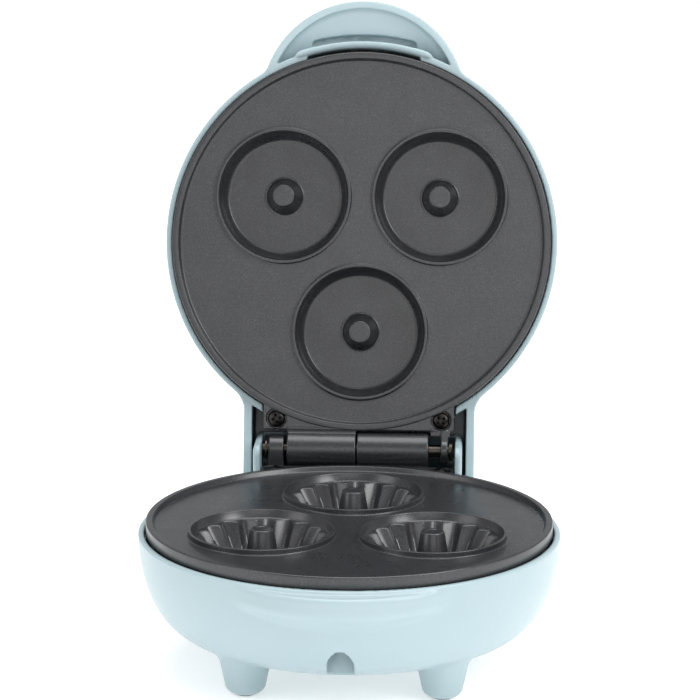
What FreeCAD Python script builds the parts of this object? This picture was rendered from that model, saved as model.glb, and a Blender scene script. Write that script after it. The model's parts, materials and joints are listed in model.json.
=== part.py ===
import FreeCAD, Part
import math
import os

from FreeCAD import Vector

os.makedirs("parts", exist_ok=True)

# Three-ring mini donut maker: a bowl-shaped base on four feet and a domed lid on a rear hinge.
#
# Everything is drawn in the base frame, in millimetres: the plates' common axis is x = y = 0, the front is
# -y, the worktop is at WORKTOP_Z, and the lid is closed. Lid pieces are then swung open about the hinge pin,
# and every piece is moved by ORIGIN_Y and up from WORKTOP_Z, so that the row's origin is the middle of the
# footprint.

# --- driving dimensions -------------------------------------------------------------------------
OPEN_ANGLE = 102.4          # the lid at rest, open against its stop
ORIGIN_Y = -27.2            # base frame to row frame
WORKTOP_Z = -0.9            # underside of the rubber pads

PLATE_R = 62.0              # both baking plates
RIM_IN_R = 59.9             # inner edge of the plates' raised rim
LOWER_RIM_Z = 44.0          # top of the lower plate's rim
UPPER_RIM_Z = 44.5          # lower face of the upper plate's rim, lid closed
PLATE_RECESS = 1.6          # plate floor below its rim
PLATE_SIDE = 4.1            # height of the plates' outer side

WELL_PITCH_R = 29.6         # centres of the three donut wells
WELL_ANGLES = (90, 210, 330)
RING_R = 22.2               # outside of the raised ring round a well
RING_IN_R = 21.3            # inside of that ring at its top
RING_RISE = 0.2             # ring top above the plate's rim
WELL_R = 20.2               # top of the fluted wall
WELL_TOP_DROP = 2.2         # top of the flutes below the rim
WELL_FLOOR_R = 13.6
LOWER_WELL_DEPTH = 13.0
UPPER_WELL_DEPTH = 9.0
UPPER_WELL_R = 21.2
UPPER_WELL_FLOOR_R = 18.4
FLUTES = 18
FLUTE_DEPTH = 2.4
WELL_SKIN = 2.2
POST_TOP_R = 3.5
POST_BASE_R = 5.7
POST_RISE = 0.4             # lower post top above the rim
POST_GAP = 0.5              # between the two posts, lid closed

HINGE_Y = 68.3
HINGE_Z = 47.4
KNUCKLE_R = 5.9
EAR_R = 4.6
PIN_R = 2.0
PIN_FIT = 0.05              # radial clearance of the turning knuckle
PIN_HOLD = 0.02             # radial clearance in the fixed knuckle and ear
TAB_X = 31.2                # half width of the plates' rear tabs
TAB_STEP = 0.8              # tab face behind the plate's rim
SCREW_X = 27.0
LOWER_SCREW_Y = 59.5
UPPER_SCREW_Y = 58.4
SCREW_HEAD_R = 2.9
SCREW_SHANK_R = 1.5
SCREW_BITE = 0.02           # how far a shank's surface stands into its pilot hole
SCREW_GAP = 0.15            # radial clearance of a through hole
HEAD_GAP = 0.4              # radial clearance of a counterbore
BOSS_R = 3.8                # housings' bosses under the plates' tabs
PLATE_BOSS_R = 4.5          # bosses on the plates' backs for the heat shields

# The housings' side is a superellipse from the rim edge to the flat end.
FLAT_R = 45.2               # flat end's radius
SIDE_REACH = 19.2           # from FLAT_R to the widest radius
SIDE_HEIGHT = 33.3          # from the widest level to the flat end
SIDE_POWER = 2.28
WIDEST_Z = 43.4             # level of the base's widest radius
BASE_EDGE_Z = 40.4          # top edge of the base's bowl
WALL = 2.2
LID_MIRROR_Z = 44.25        # the lid's dome is the bowl mirrored in this level
RIM_WALL_R = 62.5           # bore of both housings beside the plates

FRONT_FOOT = (29.2, -34.0)
REAR_FOOT = (27.0, 46.0)
FOOT_TOP_R = 9.7
FOOT_LOW_R = 5.6
FOOT_TOP_Z = 19.0           # inside the bowl's skin
FOOT_ROUND = 2.4
PAD_R = 3.0
PAD_PROUD = 0.4
PAD_DEEP = 1.6

CRADLE_IN_X = 31.7          # base's hinge cradle
CRADLE_OUT_X = 34.0
CRADLE_OUT_R = 10.0
CRADLE_IN_R = 7.8
CRADLE_FRONT_Y = 57.0
CRADLE_EDGE_ANGLE = 20.0
SHROUD_IN_X = 35.2          # lid's hinge shroud
SHROUD_OUT_X = 38.0
SHROUD_OUT_R = 13.5
SHROUD_IN_R = 11.2

HANDLE_R = 33.7
HANDLE_Y = -45.4            # centre of the handle's round outline
HANDLE_WALL = 2.4
HANDLE_TIP_H = 3.2          # height of the handle's edge at its tip
HANDLE_SLOPE = 0.5          # rise of the handle's roof towards the dome
HANDLE_FLOOR_H = 0.9        # depth of the finger hollow at the handle's tip
HANDLE_FLOOR_SLOPE = 0.3
HANDLE_ROUND = 2.0
HANDLE_BACK_R = 64.8        # inner end of the finger hollow beside the lip
SLOT_HALF_X = 17.0
SLOT_IN_R = 66.0
SLOT_OUT_R = 68.4
SLOT_DEPTH = 7.2
LIP_HALF_X = 22.5           # curved lip between the finger slot and the relief at the plate's edge
LIP_PROUD = 0.9
LIP_HEIGHT = 9.0
RELIEF_HALF_X = 18.6
RELIEF_R = 63.5
RELIEF_DEPTH = 7.4

LEDGE_R = 42.3              # base's front grip ledge
LEDGE_Y = -26.7
LEDGE_TOP_Z = 39.4
LEDGE_LOW_Z = 32.6

TONGUE_HALF_X = 17.5        # upper plate's front tongue, in the relief behind the lip
TONGUE_Z = 53.0
TONGUE_THICK = 1.4
TONGUE_R = 63.2
TONGUE_FOOT_R = 60.0
NOSE_HALF_X = 5.0           # middle of the tongue, in a pocket in the lip
NOSE_R = 64.2
POCKET_FIT = 0.2

PILLAR_Y = -45.0            # front fixing screw, driven from below
PILLAR_R = 5.6
PILLAR_TOP_Z = 30.9
PILLAR_PAD_R = 4.2          # boss on the lower plate's back over the pillar
RECESS_FRONT_Y = -56.2      # round front end of the long recess that gives access to it
RECESS_R = 3.9
RECESS_TOP_Z = 22.0

GLAND_Z = 22.0
GLAND_FACE_Y = 63.3
GLAND_BORE_R = 3.2
GLAND_BODY_R = 5.0
GLAND_FLANGE_R = 7.2
GLAND_PAD_R = 8.6           # flat boss on the bowl's rear
ELEMENT_RING_R = 56.2
ELEMENT_TUBE_R = 3.0
ELEMENT_GAP = 22.0          # half of the element's open angle, at the rear
SENSOR_R = 43.5             # thermostat and fuse, between the wells
SHIELD_R = 49.0
SHIELD_LOW_Z = 26.5
SHIELD_HIGH_Z = 58.22
LAMP_X = 7.0
LAMP_Y = -30.0
LAMP_POST_X = 17.0

BIG = 200.0


# --- helpers ------------------------------------------------------------------------------------
def box(x0, x1, y0, y1, z0, z1):
    return Part.makeBox(x1 - x0, y1 - y0, z1 - z0, Vector(x0, y0, z0))


def rod_z(radius, z0, z1, x=0.0, y=0.0):
    return Part.makeCylinder(radius, z1 - z0, Vector(x, y, z0), Vector(0, 0, 1))


def rod_x(radius, x0, x1, y=HINGE_Y, z=HINGE_Z):
    return Part.makeCylinder(radius, x1 - x0, Vector(x0, y, z), Vector(1, 0, 0))


def rod_y(radius, y0, y1, x, z):
    return Part.makeCylinder(radius, y1 - y0, Vector(x, y0, z), Vector(0, 1, 0))


def taper_z(r0, r1, z0, z1, x=0.0, y=0.0):
    return Part.makeCone(r0, r1, z1 - z0, Vector(x, y, z0), Vector(0, 0, 1))


def fuse(shapes):
    return shapes[0].multiFuse(shapes[1:]).removeSplitter()


def turned(points, x=0.0, y=0.0):
    """A solid of revolution about the vertical line through x, y, from (radius, z) corners."""
    corners = [Vector(radius, 0, z) for radius, z in points]
    face = Part.Face(Part.makePolygon(corners + corners[:1]))
    solid = face.revolve(Vector(0, 0, 0), Vector(0, 0, 1), 360)
    return solid.translated(Vector(x, y, 0))


def polar(radius, degrees, x=0.0, y=0.0):
    angle = math.radians(degrees)
    return (x + radius * math.cos(angle), y + radius * math.sin(angle))


def prism_x(edges, x0, x1):
    """A closed outline in the y-z plane, drawn at x = 0, carried from x0 to x1."""
    face = Part.Face(Part.Wire(edges))
    return face.translated(Vector(x0, 0, 0)).extrude(Vector(x1 - x0, 0, 0))


def line_yz(a, b):
    return Part.LineSegment(Vector(0, *a), Vector(0, *b)).toShape()


def arc_yz(radius, start, middle, end):
    """An arc about the hinge axis, through three directions in degrees."""
    points = [Vector(0, *polar(radius, angle, HINGE_Y, HINGE_Z)) for angle in (start, middle, end)]
    return Part.Arc(*points).toShape()


def lid_mirror(shape):
    return shape.mirror(Vector(0, 0, LID_MIRROR_Z), Vector(0, 0, 1))


def well_centres():
    return [polar(WELL_PITCH_R, angle) for angle in WELL_ANGLES]


def screw(x, y, head_z, length, head_r=SCREW_HEAD_R, up=1):
    """A round-headed screw with a cross slot; its head faces up (1) or down (-1)."""
    head = turned([(0, 0), (head_r, 0), (head_r, 0.9), (head_r * 0.8, 1.6), (0, 1.9)])
    shank = rod_z(SCREW_SHANK_R, -length, 0.2)
    slot_a = box(-1.7, 1.7, -0.35, 0.35, 0.9, 2.5)
    slot_b = box(-0.35, 0.35, -1.7, 1.7, 0.9, 2.5)
    body = fuse([head, shank]).cut(fuse([slot_a, slot_b]))
    if up < 0:
        body.rotate(Vector(0, 0, 0), Vector(1, 0, 0), 180)
    return body.translated(Vector(x, y, head_z))


def export(name, shapes, lid=False):
    """Write one node: solids drawn in the base frame, swung open if they belong to the lid."""
    solids = shapes if isinstance(shapes, list) else [shapes]
    solids = [piece for shape in solids for piece in shape.Solids]
    shape = solids[0].copy() if len(solids) == 1 else Part.makeCompound(solids)
    if lid:
        shape.rotate(Vector(0, HINGE_Y, HINGE_Z), Vector(1, 0, 0), -OPEN_ANGLE)
    shape.translate(Vector(0, ORIGIN_Y, -WORKTOP_Z))
    shape.exportStep("parts/" + name + ".step")
    print(name, len(shape.Solids), "solid(s)", round(shape.Volume), "mm3", shape.isValid())


# --- housings -----------------------------------------------------------------------------------
def bowl(inset, top_z):
    """The base's bowl as a filled solid, its surface moved inwards by inset, cut off at top_z."""
    start = math.asin(((WIDEST_Z - BASE_EDGE_Z) / SIDE_HEIGHT) ** (SIDE_POWER / 2))
    steps = 12
    points = []
    for step in range(steps + 1):
        angle = start + (math.pi / 2 - start) * step / steps
        across = max(math.cos(angle), 0.0) ** (2 / SIDE_POWER)
        down = math.sin(angle) ** (2 / SIDE_POWER)
        normal = Vector(across ** (SIDE_POWER - 1) / SIDE_REACH, 0, -down ** (SIDE_POWER - 1) / SIDE_HEIGHT)
        normal.normalize()
        surface = Vector(FLAT_R + SIDE_REACH * across, 0, WIDEST_Z - SIDE_HEIGHT * down)
        points.append(surface - normal * inset)
    side = Part.BSplineCurve()
    side.interpolate(points)
    first, last = points[0], points[-1]
    corners = [last, Vector(0, 0, last.z), Vector(0, 0, top_z), Vector(first.x, 0, top_z)]
    edges = [side.toShape()]
    edges += [Part.LineSegment(a, b).toShape() for a, b in zip(corners, corners[1:])]
    if abs(top_z - first.z) > 1e-6:
        edges.append(Part.LineSegment(corners[-1], first).toShape())
    face = Part.Face(Part.Wire(Part.__sortEdges__(edges)))
    return face.revolve(Vector(0, 0, 0), Vector(0, 0, 1), 360)


def foot(x, y):
    """A round tapered foot with a soft lower edge; its top end is inside the bowl's skin."""
    sole_z = WORKTOP_Z + PAD_PROUD
    leg = taper_z(FOOT_LOW_R, FOOT_TOP_R, sole_z, FOOT_TOP_Z, x, y)
    corner = [edge for edge in leg.Edges if edge.BoundBox.ZMax < sole_z + 1e-3]
    return leg.makeFillet(FOOT_ROUND, corner)


def foot_places():
    return [(sx * x, y) for x, y in (FRONT_FOOT, REAR_FOOT) for sx in (-1, 1)]


def foot_pad(x, y, fit=0.0):
    return rod_z(PAD_R + fit, WORKTOP_Z, WORKTOP_Z + PAD_PROUD + PAD_DEEP, x, y)


def screw_recess(radius, low_z, top_z):
    """A straight slot with round ends, from the front screw forward to the bowl's curved side."""
    ends = [rod_z(radius, low_z, top_z, 0, y) for y in (PILLAR_Y, RECESS_FRONT_Y)]
    return fuse(ends + [box(-radius, radius, RECESS_FRONT_Y, PILLAR_Y, low_z, top_z)])


def grip_ledge():
    """The crescent on the base's front that a hand holds while the lid is lifted."""
    profile = [(0, LEDGE_LOW_Z - 6), (34, LEDGE_LOW_Z - 6), (LEDGE_R - 1.2, LEDGE_LOW_Z),
               (LEDGE_R, LEDGE_LOW_Z + 2.0), (LEDGE_R, LEDGE_TOP_Z - 1.6), (LEDGE_R - 1.6, LEDGE_TOP_Z),
               (0, LEDGE_TOP_Z)]
    return turned(profile, 0, LEDGE_Y).common(box(-BIG, BIG, -BIG, -40, 0, 60))


def cradle_outline(radius, front_y, top_z, low_z):
    """Side view of the trough that the hinge lies in."""
    edge = CRADLE_EDGE_ANGLE
    start = polar(radius, edge, HINGE_Y, HINGE_Z)
    low = polar(radius, -90, HINGE_Y, HINGE_Z)
    corners = [low, (front_y, low_z), (front_y, top_z), (start[0], top_z)]
    edges = [arc_yz(radius, edge, -35, -90)]
    edges += [line_yz(a, b) for a, b in zip(corners, corners[1:])]
    if abs(top_z - start[1]) > 1e-6:
        edges.append(line_yz(corners[-1], start))
    return edges


def make_lower_housing():
    edge_z = polar(CRADLE_OUT_R, CRADLE_EDGE_ANGLE, HINGE_Y, HINGE_Z)[1]
    low_out = HINGE_Z - CRADLE_OUT_R
    low_in = HINGE_Z - CRADLE_IN_R
    cradle = prism_x(cradle_outline(CRADLE_OUT_R, CRADLE_FRONT_Y, edge_z, low_out), -CRADLE_OUT_X, CRADLE_OUT_X)
    front_corners = [e for e in cradle.Edges
                     if e.BoundBox.XLength > 10 and abs(e.BoundBox.YMax - CRADLE_FRONT_Y) < 1e-3
                     and abs(e.BoundBox.ZMax - edge_z) < 1e-3]
    cradle = cradle.makeFillet(3.0, front_corners)
    outer = [bowl(0, BASE_EDGE_Z), grip_ledge(), cradle]
    outer += [foot(x, y) for x, y in foot_places()]
    shell = fuse(outer)

    trough = prism_x(cradle_outline(CRADLE_IN_R, 40, 60, low_in), -CRADLE_IN_X, CRADLE_IN_X)
    trough = trough.common(box(-BIG, BIG, 50.0, BIG, low_in, 60))
    hollow = bowl(WALL, BASE_EDGE_Z + 1)
    seat = rod_z(RIM_WALL_R, 37.5, BASE_EDGE_Z + 1)
    shell = shell.cut(fuse([hollow, seat])).cut(trough)

    inside = bowl(WALL - 0.2, BASE_EDGE_Z + 1)
    pillar = rod_z(PILLAR_R, 11.0, PILLAR_TOP_Z, 0, PILLAR_Y)
    recess_box = screw_recess(RECESS_R + WALL, 10.2, RECESS_TOP_Z + 2.0)
    boss_top = LOWER_RIM_Z - PLATE_SIDE - 0.1
    bosses = [rod_z(BOSS_R, 30.0, boss_top, sx * SCREW_X, LOWER_SCREW_Y) for sx in (-1, 1)]
    block_posts = [rod_z(2.6, 12.0, 16.0, sx * 14.0, 38.0) for sx in (-1, 1)]
    gland_pad = rod_y(GLAND_PAD_R, 56.6, GLAND_FACE_Y, 0, GLAND_Z)
    added = [pillar.common(inside), recess_box.common(inside), gland_pad] + bosses
    added += [post.common(inside) for post in block_posts]
    shell = fuse([shell] + added)

    cuts = [screw_recess(RECESS_R, 0, RECESS_TOP_Z)]
    cuts.append(rod_z(SCREW_SHANK_R + SCREW_GAP, RECESS_TOP_Z - 1, PILLAR_TOP_Z + 1, 0, PILLAR_Y))
    pilot_r = SCREW_SHANK_R - SCREW_BITE
    cuts += [rod_z(pilot_r, 31.5, BASE_EDGE_Z + 1, sx * SCREW_X, LOWER_SCREW_Y) for sx in (-1, 1)]
    cuts += [rod_z(pilot_r, 12.4, 17.0, sx * 14.0, 38.0) for sx in (-1, 1)]
    cuts.append(rod_y(GLAND_BODY_R + 0.02, 50.0, 70.0, 0, GLAND_Z))
    cuts += [foot_pad(x, y, 0.02) for x, y in foot_places()]
    return shell.cut(fuse(cuts))


def shroud_outline(radius, front_y):
    """Side view of the lid's hinge shroud, closed: a quarter round over the pin, level with the dome's rim."""
    edge_z = 2 * LID_MIRROR_Z - BASE_EDGE_Z
    low_angle = math.degrees(math.asin((edge_z - HINGE_Z) / radius))
    start = polar(radius, low_angle, HINGE_Y, HINGE_Z)
    top = polar(radius, 90, HINGE_Y, HINGE_Z)
    corners = [top, (front_y, top[1]), (front_y, edge_z), start]
    edges = [arc_yz(radius, low_angle, 45, 90)]
    edges += [line_yz(a, b) for a, b in zip(corners, corners[1:])]
    return edges


def handle_block(radius, height, slope, rounding=0.0):
    """The handle's round outline under a roof that rises towards the dome."""
    edge_z = 2 * LID_MIRROR_Z - BASE_EDGE_Z
    tip_r = HANDLE_R - HANDLE_Y
    inner_r = 40.0
    roof = turned([(inner_r, edge_z), (tip_r, edge_z), (tip_r, edge_z + height),
                   (inner_r, edge_z + height + (tip_r - inner_r) * slope)])
    block = rod_z(radius, edge_z, 80.0, 0, HANDLE_Y).common(roof).common(box(-BIG, BIG, -BIG, -45, 0, 90))
    rim = [edge for edge in block.Edges
           if edge.BoundBox.ZMin > edge_z + 0.5 * height and edge.BoundBox.YMin < HANDLE_Y - radius + 1.0]
    return block.makeFillet(rounding, rim) if rounding else block


def make_upper_housing():
    edge_z = 2 * LID_MIRROR_Z - BASE_EDGE_Z
    dome = lid_mirror(bowl(0, BASE_EDGE_Z))
    shroud = prism_x(shroud_outline(SHROUD_OUT_R, 40), -SHROUD_OUT_X, SHROUD_OUT_X)
    handle = handle_block(HANDLE_R, HANDLE_TIP_H, HANDLE_SLOPE, HANDLE_ROUND)
    lip_z = edge_z - LIP_PROUD
    lip = rod_z(SLOT_IN_R, lip_z, lip_z + LIP_HEIGHT).cut(rod_z(RELIEF_R, 0, 90))
    lip = lip.common(box(-LIP_HALF_X, LIP_HALF_X, -BIG, 0, 0, 90))
    shell = fuse([dome, shroud, handle])

    hollow = lid_mirror(bowl(WALL, BASE_EDGE_Z + 1))
    seat = rod_z(RIM_WALL_R, edge_z - 1, edge_z + 3.0)
    relief = rod_z(RELIEF_R, edge_z - 1, edge_z + RELIEF_DEPTH)
    relief = relief.common(box(-RELIEF_HALF_X, RELIEF_HALF_X, -BIG, -40, 0, 90))
    cavity = prism_x(shroud_outline(SHROUD_IN_R, 30), -SHROUD_IN_X, SHROUD_IN_X)
    cavity = cavity.cut(rod_z(64.6, 0, 90))
    pass_way = prism_x(shroud_outline(SHROUD_IN_R, 50), -CRADLE_IN_X, CRADLE_IN_X)
    finger = handle_block(HANDLE_R - HANDLE_WALL, HANDLE_FLOOR_H, HANDLE_FLOOR_SLOPE)
    finger = finger.cut(rod_z(HANDLE_BACK_R, 0, 90))
    shell = shell.cut(fuse([hollow, seat])).cut(fuse([cavity, pass_way]))
    shell = fuse([shell.cut(finger), lip]).cut(relief)
    slot = rod_z(SLOT_OUT_R, edge_z - 1, edge_z + SLOT_DEPTH).cut(rod_z(SLOT_IN_R, 0, 90))
    slot = slot.common(box(-SLOT_HALF_X, SLOT_HALF_X, -BIG, -40, 0, 90))
    pocket = rod_z(NOSE_R + POCKET_FIT, TONGUE_Z - POCKET_FIT, TONGUE_Z + TONGUE_THICK + POCKET_FIT)
    pocket = pocket.common(box(-NOSE_HALF_X - POCKET_FIT, NOSE_HALF_X + POCKET_FIT, -BIG, -40, 0, 90))
    shell = shell.cut(slot).cut(pocket)

    inside = lid_mirror(bowl(WALL - 0.2, BASE_EDGE_Z + 1))
    top_z = HINGE_Z + SHROUD_IN_R + 0.5
    bosses = [rod_z(BOSS_R, edge_z + 0.5, top_z, sx * SCREW_X, UPPER_SCREW_Y) for sx in (-1, 1)]
    lamp_posts = [rod_z(3.2, 69.82, 77.0, sx * LAMP_POST_X, LAMP_Y).common(inside) for sx in (-1, 1)]
    shell = fuse([shell] + bosses + lamp_posts)
    cuts = [rod_z(SCREW_SHANK_R - SCREW_BITE, 0, 57.0, sx * SCREW_X, UPPER_SCREW_Y) for sx in (-1, 1)]
    cuts += [rod_z(SCREW_SHANK_R - SCREW_BITE, 60, 75.5, sx * LAMP_POST_X, LAMP_Y) for sx in (-1, 1)]
    cuts += [rod_z(2.52, 70, 90, sx * LAMP_X, LAMP_Y) for sx in (-1, 1)]
    return shell.cut(fuse(cuts))


# --- baking plates ------------------------------------------------------------------------------
def star(z, outer_r, inner_r, cx, cy):
    """Flute outline: valleys at outer_r, ridges at inner_r."""
    points = []
    for step in range(2 * FLUTES):
        radius = outer_r if step % 2 == 0 else inner_r
        points.append(Vector(*polar(radius, 90 + step * 180.0 / FLUTES, cx, cy), z))
    return Part.makePolygon(points + points[:1])


def plate_blank(rim_z, up):
    """Plate disc with its raised rim; up is 1 where the rim faces up and -1 where it faces down."""
    back = rim_z - up * PLATE_SIDE
    floor = rim_z - up * PLATE_RECESS
    return turned([(0, back), (PLATE_R, back), (PLATE_R, rim_z - up * 0.4), (PLATE_R - 0.4, rim_z),
                   (RIM_IN_R, rim_z), (RIM_IN_R - 0.5, floor), (0, floor)])


def make_lower_plate():
    rim = LOWER_RIM_Z
    back = rim - PLATE_SIDE
    ring_top = rim + RING_RISE
    flute_top = rim - WELL_TOP_DROP
    well_floor = rim - LOWER_WELL_DEPTH
    tab_top = rim - TAB_STEP
    solids = [plate_blank(rim, 1)]
    solids.append(box(-TAB_X, TAB_X, 45.0, 63.2, back, tab_top).cut(rod_z(PLATE_R - 1.0, 0, 90)))
    solids.append(box(-0.4, 23.0, 61.5, HINGE_Y, back + 0.6, tab_top))
    solids.append(rod_x(KNUCKLE_R, -0.4, 23.0))
    solids.append(rod_x(EAR_R, -29.4, -24.3))
    solids.append(box(-29.4, -24.3, HINGE_Y - EAR_R, HINGE_Y + 1.0, back + 0.6, HINGE_Z))
    solids.append(box(-29.4, -24.3, 62.0, HINGE_Y, back + 0.6, tab_top))
    solids.append(rod_z(PLATE_BOSS_R, SHIELD_LOW_Z + 0.7, back + 1))
    solids.append(rod_z(PILLAR_PAD_R, PILLAR_TOP_Z + 0.1, back + 1, 0, PILLAR_Y))
    for cx, cy in well_centres():
        solids.append(rod_z(RING_R, back, ring_top, cx, cy))
        cup_r = WELL_FLOOR_R + WELL_SKIN
        solids.append(taper_z(cup_r, RING_R - 0.2, well_floor - WELL_SKIN, back + 0.2, cx, cy))
    plate = fuse(solids)
    cuts = []
    for cx, cy in well_centres():
        rims = taper_z(WELL_R, RING_IN_R + 0.3, flute_top, ring_top + 0.6, cx, cy)
        levels = [(well_floor, WELL_FLOOR_R, 0.35), (well_floor + 2.0, WELL_FLOOR_R + 1.9, 0.6),
                  (flute_top, WELL_R, 1.0)]
        wires = [star(z, radius, radius - FLUTE_DEPTH * depth, cx, cy) for z, radius, depth in levels]
        cuts.append(fuse([rims, Part.makeLoft(wires, True, True)]).cut(post_lower(cx, cy)))
    cuts += [rod_z(SCREW_SHANK_R + SCREW_GAP, 30, 60, sx * SCREW_X, LOWER_SCREW_Y) for sx in (-1, 1)]
    cuts += [rod_z(SCREW_HEAD_R + HEAD_GAP, tab_top - 1.2, 60, sx * SCREW_X, LOWER_SCREW_Y) for sx in (-1, 1)]
    cuts.append(rod_x(PIN_R + PIN_HOLD, -35, 35))
    cuts.append(rod_z(SCREW_SHANK_R - SCREW_BITE, 20, 37.5))
    cuts.append(rod_z(SCREW_SHANK_R - SCREW_BITE, 20, 38.5, 0, PILLAR_Y))
    return plate.cut(fuse(cuts))


def post_lower(cx, cy):
    top = LOWER_RIM_Z + POST_RISE
    low = LOWER_RIM_Z - LOWER_WELL_DEPTH - 0.5
    profile = [(0, low), (POST_BASE_R, low), (POST_TOP_R, top - 0.5), (POST_TOP_R - 0.6, top), (0, top)]
    return turned(profile, cx, cy)


def tongue(back):
    """Stepped flange on the upper plate's front: its nose sits in the lip's pocket and holds the plate up."""
    top = TONGUE_Z + TONGUE_THICK
    stem = rod_z(TONGUE_FOOT_R + 1.6, back - 1, top)
    shelf = rod_z(TONGUE_R, TONGUE_Z, top)
    wide = fuse([stem, shelf]).common(box(-TONGUE_HALF_X, TONGUE_HALF_X, -BIG, -40, 0, 90))
    nose = rod_z(NOSE_R, TONGUE_Z, top).common(box(-NOSE_HALF_X, NOSE_HALF_X, -BIG, -40, 0, 90))
    return fuse([wide, nose]).cut(rod_z(TONGUE_FOOT_R, 0, 90))


def make_upper_plate():
    rim = UPPER_RIM_Z
    back = rim + PLATE_SIDE
    ring_low = rim + RING_RISE
    well_top = rim + UPPER_WELL_DEPTH
    tab_low = rim + TAB_STEP
    tab_end = HINGE_Y - KNUCKLE_R - 0.5
    solids = [plate_blank(rim, -1)]
    solids.append(box(-TAB_X, TAB_X, 45.0, tab_end, tab_low, back - 0.3).cut(rod_z(PLATE_R - 1.0, 0, 90)))
    solids.append(box(-23.35, -0.8, 61.5, HINGE_Y - 2.5, tab_low, back - 0.3))
    solids.append(rod_x(KNUCKLE_R, -23.35, -0.8))
    solids.append(box(23.6, 30.0, 61.0, 63.6, tab_low, back - 0.3))
    solids.append(box(27.0, 29.4, 61.5, HINGE_Y, tab_low - 0.5, back - 0.3))
    solids.append(rod_x(EAR_R - 0.2, 27.0, 29.4))
    solids.append(rod_z(PLATE_BOSS_R, back - 1, SHIELD_HIGH_Z - 0.02))
    solids.append(tongue(back))
    for cx, cy in well_centres():
        solids.append(rod_z(RING_R, ring_low, back, cx, cy))
        solids.append(taper_z(RING_R, UPPER_WELL_FLOOR_R + WELL_SKIN, back - 0.2, well_top + WELL_SKIN, cx, cy))
    plate = fuse(solids)
    cuts = []
    for cx, cy in well_centres():
        well = taper_z(UPPER_WELL_R + 0.1, UPPER_WELL_FLOOR_R, ring_low - 0.3, well_top, cx, cy)
        post_low = LOWER_RIM_Z + POST_RISE + POST_GAP
        post = taper_z(POST_TOP_R - 0.1, POST_BASE_R, post_low, well_top + 0.5, cx, cy)
        cuts.append(well.cut(post))
    cuts += [rod_z(SCREW_SHANK_R + SCREW_GAP, 30, 60, sx * SCREW_X, UPPER_SCREW_Y) for sx in (-1, 1)]
    cuts += [rod_z(SCREW_HEAD_R + HEAD_GAP, 30, tab_low + 1.2, sx * SCREW_X, UPPER_SCREW_Y) for sx in (-1, 1)]
    cuts.append(rod_x(PIN_R + PIN_FIT, -35, 35))
    cuts.append(rod_z(SCREW_SHANK_R - SCREW_BITE, 50.5, 60))
    return plate.cut(fuse(cuts))


# --- heating, sensing and fixing ----------------------------------------------------------------
def element(z, pin_way):
    """Tubular ring heater, open at the rear, with a cold pin on each end."""
    start = 90 + ELEMENT_GAP
    sweep = 360 - 2 * ELEMENT_GAP
    circle = Part.makeCircle(ELEMENT_TUBE_R, Vector(ELEMENT_RING_R, 0, z), Vector(0, 1, 0))
    ring = Part.Face(Part.Wire(circle)).revolve(Vector(0, 0, 0), Vector(0, 0, 1), sweep)
    ring.rotate(Vector(0, 0, 0), Vector(0, 0, 1), start)
    pins = []
    for angle in (start + 3, start + sweep - 3):
        x, y = polar(ELEMENT_RING_R, angle)
        z0, z1 = (z - 12, z) if pin_way < 0 else (z, z + 12)
        pins.append(rod_z(1.2, z0, z1, x, y))
    return fuse([ring] + pins)


def element_clips(z_plate, way):
    """Three bent straps that hold the ring heater against the plate's back."""
    clips = []
    reach = 2 * ELEMENT_TUBE_R + 0.02
    for angle in (0, 180, 270):
        low, high = sorted((z_plate + way * reach, z_plate + way * (reach + 0.8)))
        strap = box(50.4, 60.6, -3.5, 3.5, low, high)
        low, high = sorted((z_plate, z_plate + way * (reach + 0.8)))
        leg = box(51.4, 52.4, -3.5, 3.5, low, high)
        clip = fuse([strap, leg])
        clip.rotate(Vector(0, 0, 0), Vector(0, 0, 1), angle)
        clips.append(clip)
    return clips


def heat_shield(z, dish):
    """Pressed sheet reflector with a turned edge and notches for the parts that pass it."""
    low, high = sorted((z, z + 0.6))
    edge = z + dish
    sheet = rod_z(SHIELD_R, low, high)
    wall_low, wall_high = sorted((z, edge))
    wall = rod_z(SHIELD_R, wall_low, max(wall_high, high))
    wall = wall.cut(rod_z(SHIELD_R - 0.6, wall_low - 1, wall_high + 1))
    cuts = [rod_z(SCREW_SHANK_R + 0.2, z - 5, z + 5)]
    for angle in (30, 150):
        x, y = polar(SENSOR_R, angle)
        cuts.append(rod_z(10.0, z - 10, z + 10, x, y))
    cuts.append(rod_z(7.5, z - 10, z + 10, 0, PILLAR_Y))
    return fuse([sheet, wall]).cut(fuse(cuts))


def thermostat():
    """Disc thermostat: metal cap against the plate, moulded body, two blades."""
    x, y = polar(SENSOR_R, 30)
    top = LOWER_RIM_Z - PLATE_SIDE
    body = [rod_z(7.4, top - 2.6, top, x, y), rod_z(8.0, top - 3.6, top - 2.6, x, y),
            rod_z(6.6, top - 9.6, top - 3.6, x, y)]
    for blade_x in (x - 3.4, x + 3.4):
        body.append(box(blade_x - 0.4, blade_x + 0.4, y - 2.4, y + 2.4, top - 16.0, top - 9.0))
    return fuse(body)


def fuse_place():
    return polar(SENSOR_R, 150)


def thermal_fuse():
    """Axial thermal cut-out lying across the plate's back."""
    x, y = fuse_place()
    z = LOWER_RIM_Z - PLATE_SIDE - 2.3
    return fuse([rod_x(2.1, x - 6.0, x + 6.0, y, z), rod_x(0.5, x - 9.5, x + 9.5, y, z)])


def thermal_fuse_clip():
    """Sheet strap over the thermal fuse."""
    x, y = fuse_place()
    top = LOWER_RIM_Z - PLATE_SIDE
    ring = rod_x(2.9, x - 2.5, x + 2.5, y, top - 2.3).cut(rod_x(2.12, x - 3, x + 3, y, top - 2.3))
    ring = ring.cut(box(x - 3, x + 3, y - 4, y + 4, top - 2.3, top + 2))
    legs = [box(x - 2.5, x + 2.5, y + sy * 2.51 - 0.39, y + sy * 2.51 + 0.39, top - 2.4, top) for sy in (-1, 1)]
    return fuse([ring] + legs)


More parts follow.
